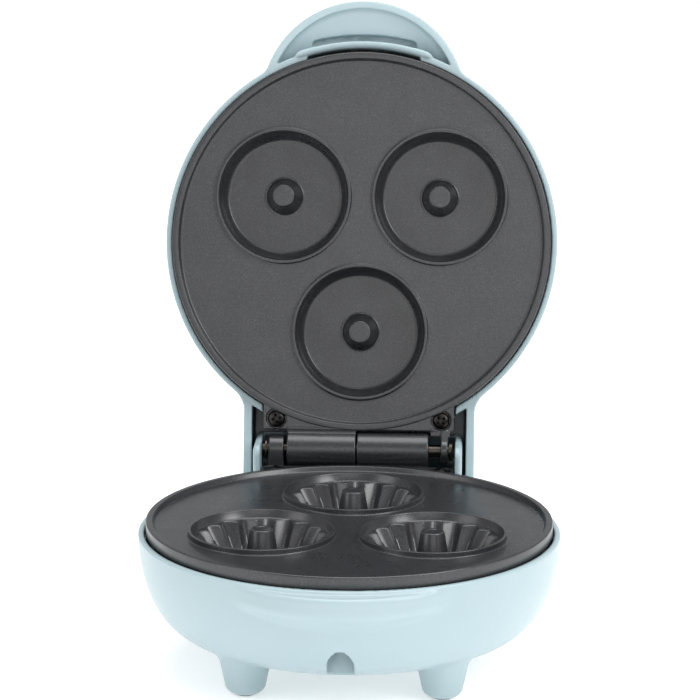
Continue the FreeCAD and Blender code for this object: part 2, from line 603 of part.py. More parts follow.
def terminal_block():
    """Two-way terminal block on the base's two short posts."""
    body = box(-18.0, 18.0, 33.0, 43.0, 16.0, 18.0)
    body = fuse([body, box(-9.0, 9.0, 32.0, 44.0, 16.0, 25.0)])
    cuts = [rod_y(2.0, 20, 60, sx * 4.5, 20.5) for sx in (-1, 1)]
    cuts += [rod_z(1.6, 21.0, 30, sx * 4.5, 38.0) for sx in (-1, 1)]
    cuts += [rod_z(1.65, 10, 30, sx * 14.0, 38.0) for sx in (-1, 1)]
    return body.cut(fuse(cuts))


def cord_gland():
    """Round bushing in the base's rear wall; the supply lead passes through its bore."""
    body = fuse([rod_y(GLAND_BODY_R, 54.4, GLAND_FACE_Y + 2.0, 0, GLAND_Z),
                 rod_y(GLAND_FLANGE_R, GLAND_FACE_Y, GLAND_FACE_Y + 2.0, 0, GLAND_Z)])
    return body.cut(rod_y(GLAND_BORE_R, 50, 70, 0, GLAND_Z))


def hinge_pin():
    """Steel pin with a domed head on the right and a groove for its clip on the left."""
    head = rod_x(3.1, 29.8, 31.2)
    rims = [edge for edge in head.Edges
            if abs(edge.BoundBox.XMin - 31.2) < 1e-3 and edge.BoundBox.XLength < 1e-3]
    head = head.makeFillet(0.9, rims)
    pin = fuse([rod_x(PIN_R, -31.4, 30.5), head])
    groove = rod_x(3.0, -30.6, -29.9).cut(rod_x(1.5, -31, -29))
    return pin.cut(groove)


def pin_clip():
    """Snap ring in the pin's groove."""
    ring = rod_x(3.4, -30.5, -30.0).cut(rod_x(1.52, -31, -29))
    return ring.cut(box(-31, -29, HINGE_Y - 1.2, HINGE_Y + 1.2, HINGE_Z, HINGE_Z + 6))


def lens(x):
    """Snap-in indicator lens: domed flange over a short barrel."""
    top = 2 * LID_MIRROR_Z - (WIDEST_Z - SIDE_HEIGHT)
    return fuse([rod_z(2.5, top - 4.4, top + 0.3, x, LAMP_Y),
                 turned([(0, top), (3.4, top), (3.2, top + 0.6), (2.0, top + 1.1), (0, top + 1.3)], x, LAMP_Y)])


def lamp_board():
    """Small board that carries both indicator lamps under the dome."""
    board = box(-20.5, 20.5, LAMP_Y - 6, LAMP_Y + 6, 68.2, 69.8)
    holes = [rod_z(SCREW_SHANK_R + SCREW_GAP, 60, 75, sx * LAMP_POST_X, LAMP_Y) for sx in (-1, 1)]
    return board.cut(fuse(holes))


def lamp(x):
    """Neon lamp standing on the board."""
    return turned([(0, 69.8), (1.9, 69.8), (1.9, 72.2), (1.2, 73.3), (0, 73.6)], x, LAMP_Y)


def make_all():
    lower_back = LOWER_RIM_Z - PLATE_SIDE
    upper_back = UPPER_RIM_Z + PLATE_SIDE
    lower_tab = LOWER_RIM_Z - TAB_STEP
    upper_tab = UPPER_RIM_Z + TAB_STEP

    export("lower_housing", make_lower_housing())
    export("foot_pads", [foot_pad(x, y) for x, y in foot_places()])
    export("lower_plate", make_lower_plate())
    export("lower_heating_element", element(lower_back - ELEMENT_TUBE_R - 0.01, -1))
    export("lower_element_clips", element_clips(lower_back - 0.01, -1))
    export("lower_heat_shield", heat_shield(SHIELD_LOW_Z, 5.0))
    export("lower_shield_screw", screw(0, 0, SHIELD_LOW_Z - 0.02, 8.0, up=-1))
    export("thermostat", thermostat())
    export("thermal_fuse", thermal_fuse())
    export("thermal_fuse_clip", thermal_fuse_clip())
    export("terminal_block", terminal_block())
    export("terminal_block_screws", [screw(sx * 14.0, 38.0, 18.02, 5.4, 2.6) for sx in (-1, 1)])
    export("cord_gland", cord_gland())
    export("lower_plate_screws",
           [screw(sx * SCREW_X, LOWER_SCREW_Y, lower_tab - 1.18, 8.5) for sx in (-1, 1)])
    export("front_screw", screw(0, PILLAR_Y, RECESS_TOP_Z - 0.02, 14.0, up=-1))
    export("hinge_pin", hinge_pin())
    export("hinge_pin_clip", pin_clip())

    export("upper_housing", make_upper_housing(), lid=True)
    export("upper_plate", make_upper_plate(), lid=True)
    export("upper_heating_element", element(upper_back + ELEMENT_TUBE_R + 0.01, 1), lid=True)
    export("upper_element_clips", element_clips(upper_back + 0.01, 1), lid=True)
    export("upper_heat_shield", heat_shield(SHIELD_HIGH_Z, -2.0), lid=True)
    export("upper_shield_screw", screw(0, 0, SHIELD_HIGH_Z + 0.62, 7.0), lid=True)
    export("upper_plate_screws",
           [screw(sx * SCREW_X, UPPER_SCREW_Y, upper_tab + 1.18, 9.0, up=-1) for sx in (-1, 1)], lid=True)
    export("power_lens", lens(-LAMP_X), lid=True)
    export("ready_lens", lens(LAMP_X), lid=True)
    export("lamp_board", lamp_board(), lid=True)
    export("lamp_board_screws",
           [screw(sx * LAMP_POST_X, LAMP_Y, 68.18, 6.0, 2.6, up=-1) for sx in (-1, 1)], lid=True)
    export("indicator_lamps", [lamp(-LAMP_X), lamp(LAMP_X)], lid=True)


make_all()
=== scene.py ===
import json
import math

import bmesh
import bpy
import numpy as np
from mathutils import Matrix, Vector
from mathutils.geometry import tessellate_polygon


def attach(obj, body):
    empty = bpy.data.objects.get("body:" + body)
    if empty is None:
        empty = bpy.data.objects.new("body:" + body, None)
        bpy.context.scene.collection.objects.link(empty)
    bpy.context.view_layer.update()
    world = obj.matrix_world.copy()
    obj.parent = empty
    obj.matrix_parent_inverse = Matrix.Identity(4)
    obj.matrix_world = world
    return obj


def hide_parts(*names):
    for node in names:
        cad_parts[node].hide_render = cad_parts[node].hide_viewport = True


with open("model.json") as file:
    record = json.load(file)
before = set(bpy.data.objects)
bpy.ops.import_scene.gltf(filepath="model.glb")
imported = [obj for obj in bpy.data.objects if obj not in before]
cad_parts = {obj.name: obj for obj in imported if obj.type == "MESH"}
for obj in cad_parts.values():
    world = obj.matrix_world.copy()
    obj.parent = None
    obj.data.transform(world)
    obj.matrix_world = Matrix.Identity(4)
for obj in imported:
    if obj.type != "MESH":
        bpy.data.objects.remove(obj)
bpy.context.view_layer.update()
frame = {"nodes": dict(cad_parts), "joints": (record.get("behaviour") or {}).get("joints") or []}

# The shapes below are drawn in millimetres in the base frame: the plates' common axis is x = y = 0, the
# front is -y, the worktop is at WORKTOP_Z, and the lid is closed. BASE and LID carry them to their places.
MM = 0.001
joint = frame["joints"][0]
PIN = Vector(joint["pos_m"])
OPEN_ANGLE = math.radians(joint["range_deg"][1])
HINGE_Y = 68.3              # hinge pin behind the plates' axis
HINGE_Z = 47.4
BASE = Matrix.Translation((0, PIN.y - HINGE_Y * MM, PIN.z - HINGE_Z * MM)) @ Matrix.Scale(MM, 4)
LID = (Matrix.Translation(PIN) @ Matrix.Rotation(-OPEN_ANGLE, 4, "X")
       @ Matrix.Translation(-PIN) @ BASE)

PLATE_R = 62.0
LOWER_RIM_Z = 44.0
UPPER_RIM_Z = 44.5
PLATE_RECESS = 1.6          # plate floor below its rim
PLATE_SIDE = 4.1            # plate back below its rim
WELL_PITCH_R = 29.6
WELL_ANGLES = (90, 210, 330)
FLUTES = 18
FLUTE_DEPTH = 2.4

FLAT_R = 45.2               # the housings' side: a superellipse from the flat end to the widest level
SIDE_REACH = 19.2
SIDE_HEIGHT = 33.3
SIDE_POWER = 2.28
WIDEST_Z = 43.4
BASE_EDGE_Z = 40.4
WALL = 2.2
LID_MIRROR_Z = 44.25
LID_EDGE_Z = 2 * LID_MIRROR_Z - BASE_EDGE_Z
RIM_WALL_R = 62.5

FOOT_PAD_R = 3.0
FOOT_PAD_DEEP = 1.6
FEET = [(sx * x, y) for x, y in ((29.2, -34.0), (27.0, 46.0)) for sx in (-1, 1)]
WORKTOP_Z = -0.9
SOLE_Z = WORKTOP_Z + 0.4    # moulded end of a foot, above its rubber pad
FOOT_TOP_Z = 19.0
PILLAR_Y = -45.0
PILLAR_R = 5.6
RECESS_FRONT_Y = -56.2      # the screw recess runs forward from the pillar to the bowl's side
RECESS_R = 3.9
RECESS_TOP_Z = 22.0
COLLAR_FALL = 0.36          # slope of the lower edge of the recess's collar, down towards the rear
GLAND_Z = 22.0
GLAND_PAD_R = 8.6
HANDLE_R = 33.7
HANDLE_Y = -45.4
HANDLE_TIP = HANDLE_R - HANDLE_Y
HANDLE_WALL = 2.4
FRONT_ONLY_Y = -40.0        # the handle's cuts stay in front of this
HANDLE_BACK_R = 64.8        # inner end of the finger hollow beside the lip
SLOT_IN_R = 66.0
SLOT_OUT_R = 68.4
LIP_IN_R = 63.5             # lip between the finger slot and the relief at the plate's edge
LIP_HALF_X = 22.5
LIP_LOW_Z = LID_EDGE_Z - 0.9
RELIEF_HALF_X = 18.6
TONGUE_Z = 53.0             # upper plate's front tongue, in the relief
TONGUE_TOP_Z = 54.4
TONGUE_R = 63.2
NOSE_R = 64.2               # the tongue's nose, in a pocket in the lip
NOSE_HALF_X = 5.0
NOSE_GAP = 0.2
LEDGE_R = 42.3
LEDGE_Y = -26.7
LAMP_X = 7.0
LAMP_Y = -30.0
SCREW_X = 27.0
SCREW_BOSS_R = 3.8
LOWER_SCREW_Y = 59.5
UPPER_SCREW_Y = 58.4
TAB_X = 31.2
TAB_STEP = 0.8              # lower tab and both pairs of screw seats, behind the plates' rims
UPPER_TAB_STEP = 0.25       # upper tab's face behind its rim
KNUCKLE_R = 5.9


# --- solids as distance fields: negative inside, in millimetres ----------------------------------
def meet(a, b, radius):
    """Intersection of two fields, its outer corner rounded."""
    inside = np.minimum(np.maximum(a, b), -radius)
    return inside + np.hypot(np.maximum(a + radius, 0), np.maximum(b + radius, 0))


def join(a, b, radius):
    """Union of two fields, its inner corner filled with a fillet."""
    return -meet(-a, -b, radius)


def carve(a, b, radius):
    """Field a without field b, the new edge rounded."""
    return meet(a, -b, radius)


def between(v, low, high):
    """A slab from low to high."""
    return np.abs(v - (low + high) / 2) - (high - low) / 2


def block(x, y, z, xs, ys, zs, radius):
    """A box between three pairs of limits, its edges rounded."""
    return meet(meet(between(x, *xs), between(y, *ys), radius), between(z, *zs), radius)


def drum(a, b, radius, along, low, high, edge):
    """A round bar of that radius about a = b = 0, from low to high along its axis."""
    return meet(np.hypot(a, b) - radius, between(along, low, high), edge)


def bowl(r, z):
    """The housings' outer surface, widest at WIDEST_Z and flat below."""
    across = np.maximum(r - FLAT_R, 0) / SIDE_REACH
    down = np.maximum(WIDEST_Z - z, 0) / SIDE_HEIGHT
    level = np.maximum((across ** SIDE_POWER + down ** SIDE_POWER) ** (1 / SIDE_POWER), 0.1)
    power = SIDE_POWER - 1
    slope = np.hypot(across ** power / SIDE_REACH, down ** power / SIDE_HEIGHT) / level ** power
    return (level - 1) / np.maximum(slope, 0.5 / SIDE_HEIGHT)


def about_pin(y, z, rises):
    """Distance from the hinge pin towards the rear and, as rises says, upwards or downwards."""
    return np.hypot(np.maximum(y - HINGE_Y, 0), np.maximum(rises * (z - HINGE_Z), 0))


def lower_shell(x, y, z):
    """The base's bowl with its grip ledge, feet, hinge cradle, screw recess with its collar, and bosses."""
    r = np.hypot(x, y)
    wide = np.abs(x)
    body = bowl(r, z)

    ledge_r = np.hypot(x, y - LEDGE_Y)
    ledge = meet(ledge_r - LEDGE_R, z - 39.4, 1.3)
    ledge = meet(ledge, 0.645 * (ledge_r - 41.1) - 0.763 * (z - 32.6), 1.3)
    body = join(body, np.maximum(ledge, 26.0 - z), 1.0)
    body = meet(body, z - BASE_EDGE_Z, 0.6)
    for fx, fy in FEET:
        leg = 0.979 * (np.hypot(x - fx, y - fy) - 5.6 - 0.21 * (z - SOLE_Z))
        body = join(body, np.maximum(meet(leg, SOLE_Z - z, 2.4), z - FOOT_TOP_Z), 1.4)

    above = np.where(y > HINGE_Y, np.hypot(y - HINGE_Y, z - HINGE_Z), HINGE_Z - z) - 10.0
    cradle = meet(meet(z - 50.8, 57.0 - y, 3.0), above, 0.5)
    body = join(body, meet(cradle, wide - 34.0, 1.6), 1.0)
    body = join(body, drum(x, z - GLAND_Z, GLAND_PAD_R, y, 50.0, 63.3, 0.5), 0.6)

    hollow = np.minimum(bowl(r, z) + WALL, np.maximum(r - RIM_WALL_R, 37.5 - z))
    body = carve(body, hollow, 0.45)
    trough = np.maximum(about_pin(y, z, -1) - 7.8, np.maximum(wide - 31.7, 50.0 - y))
    body = carve(body, trough, 0.45)

    inner = np.maximum(bowl(r, z) + WALL / 2, 10.6 - z)
    recess_y = y - np.clip(y, RECESS_FRONT_Y, PILLAR_Y)
    posts = drum(x, y - PILLAR_Y, PILLAR_R, z, 9.0, 30.9, 0.4)
    posts = np.minimum(posts, drum(wide - SCREW_X, y - LOWER_SCREW_Y, SCREW_BOSS_R, z, 30.0, 39.8, 0.3))
    posts = np.minimum(posts, drum(wide - 14.0, y - 38.0, 2.6, z, 9.0, 16.0, 0.3))
    body = join(body, np.maximum(posts, inner), 0.8)
    collar = np.maximum(np.hypot(x, recess_y) - RECESS_R - WALL, z - RECESS_TOP_Z - 2.0)
    collar = np.maximum(collar, bowl(r, np.maximum(z, 15.0)) + WALL / 2)
    body = join(body, meet(collar, 0.94 * (11.6 - COLLAR_FALL * (y + 52.0) - z), 0.4), 0.4)
    body = join(body, drum(x, z - GLAND_Z, GLAND_PAD_R, y, 56.6, 62.0, 0.4), 0.4)

    body = carve(body, drum(x, recess_y, RECESS_R, z, -9.0, RECESS_TOP_Z, 0.8), 0.8)
    holes = drum(x, y - PILLAR_Y, 1.7, z, 10.0, 40.0, 0.2)
    holes = np.minimum(holes, drum(wide - SCREW_X, y - LOWER_SCREW_Y, 1.5, z, 31.5, 50.0, 0.2))
    holes = np.minimum(holes, drum(x, z - GLAND_Z, 5.05, y, 50.0, 80.0, 0.2))
    for fx, fy in FEET:
        pad = drum(x - fx, y - fy, FOOT_PAD_R + 0.03, z, -9.0, SOLE_Z + FOOT_PAD_DEEP, 0.1)
        holes = np.minimum(holes, pad)
    return carve(body, holes, 0.4)


def upper_shell(x, y, z):
    """The lid's dome with its hollow handle, finger slot, lip, hinge shroud and bosses."""
    r = np.hypot(x, y)
    wide = np.abs(x)
    mirrored = 2 * LID_MIRROR_Z - z
    dome = bowl(r, mirrored)

    shroud = meet(about_pin(y, z, 1) - 13.5, wide - 38.0, 1.8)
    body = join(dome, np.maximum(shroud, 40.0 - y), 3.0)
    roof = 0.894 * (z - LID_EDGE_Z - 3.2 - 0.5 * (HANDLE_TIP - np.maximum(r, 40.0)))
    handle_r = np.hypot(x, y - HANDLE_Y)
    handle = meet(handle_r - HANDLE_R, roof, 2.0)
    body = join(body, np.maximum(handle, y + 45.0), 1.2)
    body = meet(body, LID_EDGE_Z - z, 0.55)

    hollow = np.minimum(dome + WALL, np.maximum(r - RIM_WALL_R, z - LID_EDGE_Z - 3.0))
    body = carve(body, hollow, 0.45)
    pocket = about_pin(y, z, 1) - 11.2
    cavity = np.maximum(meet(pocket, wide - 35.2, 0.8), np.maximum(64.6 - r, 30.0 - y))
    passage = np.maximum(np.maximum(pocket, wide - 31.7), 50.0 - y)
    body = carve(body, np.minimum(cavity, passage), 0.45)

    floor = 0.958 * (z - LID_EDGE_Z - 0.9 - 0.3 * (HANDLE_TIP - r))
    finger = meet(handle_r - HANDLE_R + HANDLE_WALL, floor, 1.4)
    finger = meet(finger, HANDLE_BACK_R - r, 0.5)
    body = carve(body, np.maximum(finger, y - FRONT_ONLY_Y), 0.5)
    relief = np.maximum(r - LIP_IN_R - 1.0, np.maximum(wide - RELIEF_HALF_X, z - LID_EDGE_Z - 7.4))
    body = carve(body, np.maximum(relief, y - FRONT_ONLY_Y), 0.3)
    lip = meet(meet(LIP_IN_R - r, LIP_LOW_Z - z, 1.9), np.maximum(r - SLOT_IN_R, z - LIP_LOW_Z - 9.0), 0.6)
    lip = meet(lip, wide - LIP_HALF_X - 0.8, 2.6)
    body = join(body, np.maximum(lip, y), 0.3)
    slot = meet(np.maximum(r - SLOT_OUT_R, SLOT_IN_R - r), wide - 17.2, 1.1)
    slot = np.maximum(slot, np.maximum(z - LID_EDGE_Z - 7.2, y - FRONT_ONLY_Y))
    nose_pocket = np.maximum(wide - NOSE_HALF_X - NOSE_GAP, y - FRONT_ONLY_Y)
    nose_pocket = np.maximum(r - NOSE_R - NOSE_GAP, nose_pocket)
    nose_pocket = np.maximum(nose_pocket, between(z, TONGUE_Z - NOSE_GAP, TONGUE_TOP_Z + NOSE_GAP))
    body = carve(body, np.minimum(slot, nose_pocket), 0.35)

    posts = drum(wide - SCREW_X, y - UPPER_SCREW_Y, SCREW_BOSS_R, z, LID_EDGE_Z + 0.5, 59.0, 0.3)
    posts = np.minimum(posts, drum(wide - 17.0, y - LAMP_Y, 3.2, z, 69.8, 77.0, 0.3))
    body = join(body, posts, 0.3)
    holes = drum(wide - SCREW_X, y - UPPER_SCREW_Y, 1.5, z, 40.0, 57.0, 0.2)
    holes = np.minimum(holes, drum(wide - 17.0, y - LAMP_Y, 1.5, z, 60.0, 75.5, 0.2))
    holes = np.minimum(holes, drum(wide - LAMP_X, y - LAMP_Y, 2.55, z, 70.0, 90.0, 0.1))
    return carve(body, holes, 0.3)


def lower_tab(x, y, z):
    """Rear tab of the lower plate: counterbored screw holes, long knuckle and left-hand ear."""
    back = LOWER_RIM_Z - PLATE_SIDE
    top = LOWER_RIM_Z - TAB_STEP
    pin_r = np.hypot(y - HINGE_Y, z - HINGE_Z)
    tab = meet(meet(np.abs(x) - TAB_X, y - 63.2, 1.0), between(z, back, top), 0.35)
    body = np.maximum(tab, PLATE_R - 1.0 - np.hypot(x, y))
    knuckle = meet(pin_r - KNUCKLE_R, between(x, -0.4, 23.0), 0.45)
    web = block(x, y, z, (-0.4, 23.0), (61.8, HINGE_Y), (back + 0.6, top), 0.3)
    body = join(body, np.minimum(knuckle, web), 0.7)
    foot = np.maximum(between(y, HINGE_Y - 4.6, HINGE_Y + 1.0), between(z, back + 0.6, HINGE_Z))
    ear = np.minimum(pin_r - 4.6, foot)
    ear = meet(ear, between(x, -29.4, -24.3), 0.45)
    body = join(body, ear, 0.7)
    return pierce(body, x, y, z, pin_r - 2.02, LOWER_SCREW_Y, (top - 1.2, 99.0))


def upper_tab(x, y, z):
    """Rear tab of the upper plate: counterbored screw holes, left-hand knuckle and right-hand ear."""
    back = UPPER_RIM_Z + PLATE_SIDE
    low = UPPER_RIM_Z + UPPER_TAB_STEP
    pin_r = np.hypot(y - HINGE_Y, z - HINGE_Z)
    tab = meet(meet(np.abs(x) - TAB_X, y - 61.9, 1.0), between(z, low, back - 0.3), 0.35)
    body = np.maximum(tab, PLATE_R - 1.0 - np.hypot(x, y))
    knuckle = meet(pin_r - KNUCKLE_R, between(x, -23.35, -0.8), 0.45)
    web = block(x, y, z, (-23.35, -0.8), (61.0, HINGE_Y - 2.5), (low, back - 0.3), 0.3)
    body = join(body, np.minimum(knuckle, web), 0.5)
    stem = block(x, y, z, (23.6, 30.0), (61.0, 63.6), (low, back - 0.3), 0.3)
    arm = block(x, y, z, (27.0, 29.4), (61.5, HINGE_Y), (low - 0.5, back - 0.3), 0.3)
    eye = meet(pin_r - 4.4, between(x, 27.0, 29.4), 0.4)
    body = join(body, join(stem, np.minimum(arm, eye), 0.3), 0.4)
    return pierce(body, x, y, z, pin_r - 2.05, UPPER_SCREW_Y, (-99.0, low + 1.2))


def front_tongue(x, y, z):
    """Stepped flange on the upper plate's front, with the nose that sits in the lip's pocket. The flange is a
    likely part, and its shelf is made wide so that its dark coating fills the view into the gap under the lip
    and stands in for the shade there.
    """
    r = np.hypot(x, y)
    wide = np.abs(x)
    height = between(z, TONGUE_Z, TONGUE_TOP_Z)
    stem = meet(between(r, 60.0, 61.6), between(z, UPPER_RIM_Z + PLATE_SIDE - 0.5, TONGUE_TOP_Z), 0.2)
    shelf = meet(between(r, 60.0, TONGUE_R), height, 0.3)
    body = meet(join(stem, shelf, 0.4), wide - 17.5, 0.4)
    nose = meet(meet(between(r, 60.0, NOSE_R), height, 0.3), wide - NOSE_HALF_X, 0.3)
    return np.maximum(join(body, nose, 0.3), y - FRONT_ONLY_Y)


def pierce(body, x, y, z, bore, screw_y, sink):
    """Cuts the pin's bore and the two counterbored screw holes out of a tab."""
    body = carve(body, bore, 0.25)
    screw_r = np.hypot(np.abs(x) - SCREW_X, y - screw_y)
    body = carve(body, np.maximum(screw_r - 3.3, between(z, *sink)), 0.3)
    return carve(body, screw_r - 1.65, 0.1)


def cross_screw(length, turn):
    """A pan-head screw, head up on z = 0, with a tapered cross recess turned by that angle."""
    def field(x, y, z):
        r = np.hypot(x, y)
        crown = 0.11 * r * r
        head = meet(meet(r - 2.9, 0.97 * (z + crown - 1.95), 0.7), -z, 0.1)
        body = join(head, drum(x, y, 1.48, z, -length, 0.3, 0.3), 0.3)
        u = np.abs(x * math.cos(turn) + y * math.sin(turn))
        v = np.abs(y * math.cos(turn) - x * math.sin(turn))
        long, short = np.maximum(u, v), np.minimum(u, v)
        reach = 1.75 - 0.55 * (1.9 - z)
        wings = np.maximum(np.maximum(short - 0.34, long - reach), 0.45 - z)
        heart = np.maximum(long + short - 1.05, 0.3 - z)
        return carve(body, np.minimum(wings, heart), 0.12)
    return field


# --- from field to mesh ---------------------------------------------------------------------------
def gradient(field, points, step):
    """The field's slope at the points, from differences over that step."""
    slopes = []
    for axis in range(3):
        shift = np.zeros(3)
        shift[axis] = step / 2
        slopes.append((field(*(points + shift).T) - field(*(points - shift).T)) / step)
    return np.stack(slopes, 1)


def settle(field, points, pitch, rounds):
    """Moves points along the field's slope onto its surface."""
    reach = 0.1 * pitch
    for _ in range(rounds):
        value = field(*points.T)
        slope = np.stack([(field(*(points + shift).T) - value) / reach for shift in reach * np.eye(3)], 1)
        steepness = np.maximum((slope ** 2).sum(1), 0.2)
        step = (value / steepness)[:, None] * slope
        size = np.maximum(np.linalg.norm(step, axis=1, keepdims=True), 1e-9)
        points = points - step * np.minimum(1.0, 0.6 * pitch / size)
    return points


def sampled(field, low, counts, pitch, span=8):
    """Field values on a grid; blocks of samples far from the surface only get the block's sign."""
    centres = [low[a] + ((np.arange(counts[a]) + 0.5) * span - 0.5) * pitch for a in range(3)]
    rough = field(*np.meshgrid(*centres, indexing="ij"))
    near = np.abs(rough) < 1.4 * span * pitch
    values = np.where(rough < 0, -1.0, 1.0)
    for axis in range(3):
        values = np.repeat(values, span, axis)
        near = np.repeat(near, span, axis)
    places = np.argwhere(near)
    values[near] = field(*(low + places * pitch).T)
    return values


def net_of(field, low, high, pitch):
    """Vertices and quads round the field's zero level, one vertex in each cell that it crosses."""
    low = np.array(low, float)
    counts = np.ceil((np.array(high) - low) / (8 * pitch)).astype(int)
    inside = sampled(field, low, counts, pitch) < 0
    size = np.array(inside.shape) - 1
    full = np.zeros(size, int)
    for corner in np.ndindex(2, 2, 2):
        cut = tuple(slice(c, c + n) for c, n in zip(corner, size))
        full += inside[cut]
    crossed = (full > 0) & (full < 8)
    numbers = np.full(size, -1)
    numbers[crossed] = np.arange(crossed.sum())
    points = settle(field, low + (np.argwhere(crossed) + 0.5) * pitch, pitch, 4)
    quads = []
    for axis in range(3):
        here = np.moveaxis(inside, axis, 0)
        cell = np.moveaxis(numbers, axis, 0)
        i, j, k = np.nonzero(here[:-1, 1:-1, 1:-1] != here[1:, 1:-1, 1:-1])
        ring = np.stack([cell[i, j, k], cell[i, j + 1, k], cell[i, j + 1, k + 1], cell[i, j, k + 1]], 1)
        forwards = here[i, j + 1, k + 1] != (axis == 1)
        quads.append(np.where(forwards[:, None], ring, ring[:, ::-1]))
    return points, np.concatenate(quads)


def lighter(mesh, share):
    """The mesh with that share of its faces, thinned where it is flattest."""
    scratch = bpy.data.objects.new("scratch", mesh)
    bpy.context.scene.collection.objects.link(scratch)
    scratch.modifiers.new("thin", "DECIMATE").ratio = share
    thinned = bpy.data.meshes.new_from_object(scratch.evaluated_get(bpy.context.evaluated_depsgraph_get()))
    bpy.data.objects.remove(scratch)
    return thinned


def coordinates(mesh):
    flat = np.zeros(len(mesh.vertices) * 3)
    mesh.vertices.foreach_get("co", flat)
    return flat.reshape(-1, 3)


def moulded(name, field, low, high, pitch, share, place):
    """A mesh from a distance field, with its shading normals taken from the field itself."""
    points, quads = net_of(field, low, high, pitch)
    mesh = bpy.data.meshes.new(name)
    mesh.from_pydata(points, [], quads.tolist())
    mesh = lighter(mesh, share)
    mesh.name = name
    points = settle(field, coordinates(mesh), pitch, 2)
    normals = gradient(field, points, 0.1)
    turn = np.array(place.to_3x3().normalized())
    mesh.vertices.foreach_set("co", points.ravel())
    mesh.transform(place)
    mesh.shade_smooth()
    normals = normals @ turn.T
    normals /= np.maximum(np.linalg.norm(normals, axis=1, keepdims=True), 1e-9)
    mesh.normals_split_custom_set_from_vertices(normals)
    return mesh


def placed(name, mesh, body, replaced):
    """Links a finished mesh as the piece that stands for a CAD node."""
    piece = bpy.data.objects.new(name, mesh)
    bpy.context.scene.collection.objects.link(piece)
    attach(piece, body)
    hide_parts(replaced)
    return piece


def merged(name, meshes):
    """Several meshes as one, keeping their normals."""
    parts = [bpy.data.objects.new("part", mesh) for mesh in meshes]
    for part in parts:
        bpy.context.scene.collection.objects.link(part)
    with bpy.context.temp_override(active_object=parts[0], selected_editable_objects=parts):
        bpy.ops.object.join()
    mesh = parts[0].data
    mesh.name = name
    bpy.data.objects.remove(parts[0])
    return mesh


# --- the plates' turned and fluted surfaces -------------------------------------------------------
WELL_STEPS = 12 * FLUTES
RIM_STEPS = 240


class Net:
    """Vertices and faces of one closed skin, in millimetres, heights above the plate's rim plane."""

    def __init__(self):
        self.points = []
        self.faces = []

    def loop(self, points):
        start = len(self.points)
        self.points += points
        return list(range(start, start + len(points)))

    def circle(self, radius, height, x=0.0, y=0.0, steps=RIM_STEPS):
        angles = [2 * math.pi * i / steps for i in range(steps)]
        return self.loop([(x + radius * math.cos(a), y + radius * math.sin(a), height) for a in angles])

    def band(self, first, second):
        for i in range(len(first)):
            j = (i + 1) % len(first)
            self.faces.append((first[i], first[j], second[j], second[i]))

    def bands(self, loops):
        for first, second in zip(loops, loops[1:]):
            self.band(first, second)

    def turned(self, profile, x=0.0, y=0.0, steps=RIM_STEPS):
        loops = [self.circle(radius, height, x, y, steps) for radius, height in profile]
        self.bands(loops)
        return loops[0], loops[-1]

    def flat(self, loops):
        """Fills a flat region between its outer loop, first, and the loops of its holes."""
        order = [i for loop in loops for i in loop]
        outlines = [[Vector((*self.points[i][:2], 0)) for i in loop] for loop in loops]
        self.faces += [tuple(order[i] for i in corner) for corner in tessellate_polygon(outlines)]

    def mesh(self, name, place):
        work = bmesh.new()
        corners = [work.verts.new(point) for point in self.points]
        for face in self.faces:
            work.faces.new([corners[i] for i in face])
        bmesh.ops.recalc_face_normals(work, faces=work.faces)
        mesh = bpy.data.meshes.new(name)
        work.to_mesh(mesh)
        work.free()
        mesh.transform(place)
        if place.determinant() < 0:
            mesh.flip_normals()
        mesh.shade_smooth()
        mesh.set_sharp_from_angle(angle=math.radians(48))
        return mesh


def rounded(corner, start, end, steps=4):
    """Points along a round corner, from start to end, both on the lines that meet at corner."""
    points = []
    for i in range(steps + 1):
        t = i / steps
        weights = ((1 - t) ** 2, 2 * t * (1 - t), t ** 2)
        knots = (start, corner, end)
        points.append(tuple(sum(w * p[axis] for w, p in zip(weights, knots)) for axis in (0, 1)))
    return points


def flute_wave(step):
    """From 0 in a valley to 1 on a ridge: straight flanks with softly rounded turns."""
    sharpness = 0.975
    span = 1 - 2 * math.acos(sharpness) / math.pi
    share = math.acos(sharpness * math.cos(2 * math.pi * step / 12)) / math.pi
    return (share - (1 - span) / 2) / span


def flute_loop(net, x, y, valley_r, depth, height):
    points = []
    for step in range(WELL_STEPS):
        angle = math.pi / 2 + 2 * math.pi * step / WELL_STEPS
        radius = valley_r - depth * flute_wave(step)
        points.append((x + radius * math.cos(angle), y + radius * math.sin(angle), height))
    return net.loop(points)


def well_circle(net, radius, height, x, y):
    return flute_loop(net, x, y, radius, 0.0, height)


def ring_profile(top):
    """Across the raised ring round a well, from the plate's floor to the ring's inner edge."""
    floor = -PLATE_RECESS
    return ([(23.3, floor)] + rounded((22.3, floor), (22.75, floor), (22.26, floor + 0.5))
            + rounded((22.2, top), (22.22, top - 0.22), (21.98, top))
            + rounded((21.3, top), (21.5, top), (21.26, top - 0.25)))


